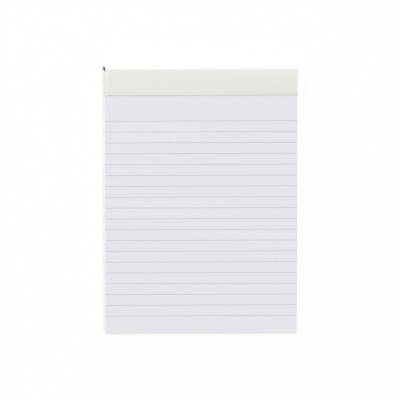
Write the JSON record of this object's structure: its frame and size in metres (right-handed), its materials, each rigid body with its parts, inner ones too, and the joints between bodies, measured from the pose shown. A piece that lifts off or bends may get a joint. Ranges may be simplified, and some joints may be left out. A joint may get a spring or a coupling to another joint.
{
  "type": "legal pad",
  "caption": "Top-bound writing pad of ruled white sheets on a backing board, held by glue and a folded strip of pale tape over the bound edge.",
  "frame": {"origin": "middle of the pad's underside, at the level of the tape's back flap", "axes": "+X to the right across the writing face, +Y towards the bound edge, +Z out of the writing face"},
  "size_m": [0.1484, 0.2106, 0.0113],
  "materials": {
    "paper": "matt white writing paper",
    "board": "matt grey chipboard",
    "glue": "dried flexible padding glue",
    "tape": "pale ivory binding paper with a fine grain",
    "ink": "matt grey printing ink"
  },
  "bodies": {
    "root": {"writing_sheets": "paper", "backing_board": "board", "spine_glue": "glue", "binding_tape": "tape", "ruled_lines": "ink"}
  },
  "joints": []
}
